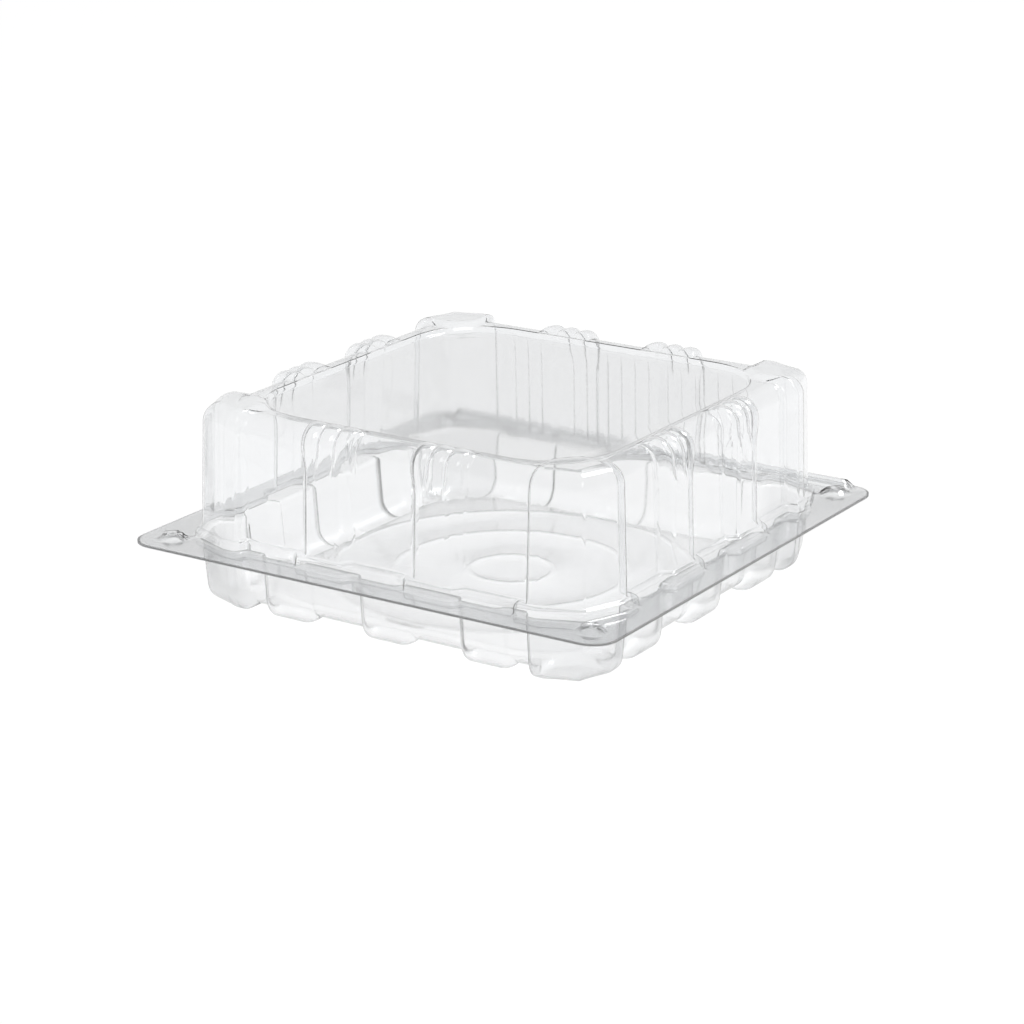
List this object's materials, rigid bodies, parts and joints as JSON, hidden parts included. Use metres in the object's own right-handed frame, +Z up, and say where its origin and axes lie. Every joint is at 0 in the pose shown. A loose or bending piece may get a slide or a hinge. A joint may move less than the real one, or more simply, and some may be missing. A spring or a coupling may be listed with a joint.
{
  "type": "hinged clamshell pack",
  "caption": "Clear thermoformed food pack: shallow tray and tall ribbed lid, hinged along the back rim.",
  "frame": {"origin": "middle of the resting plane, under the centre of the base", "axes": "+Z up, X along the fold line, +Y towards the fold at the back, -Y is the opening front edge"},
  "size_m": [0.23, 0.23, 0.0864],
  "materials": {
    "clear_sheet": "clear, glossy"
  },
  "bodies": {
    "base": {"base_tray": "clear_sheet"},
    "cover": {"lid": "clear_sheet"}
  },
  "joints": [
    {"name": "lid_hinge", "type": "hinge", "parent": "base", "child": "cover", "pos_m": [0, 0.1152, 0.0281], "axis": [-1, 0, 0], "range_deg": [0, 130]}
  ]
}
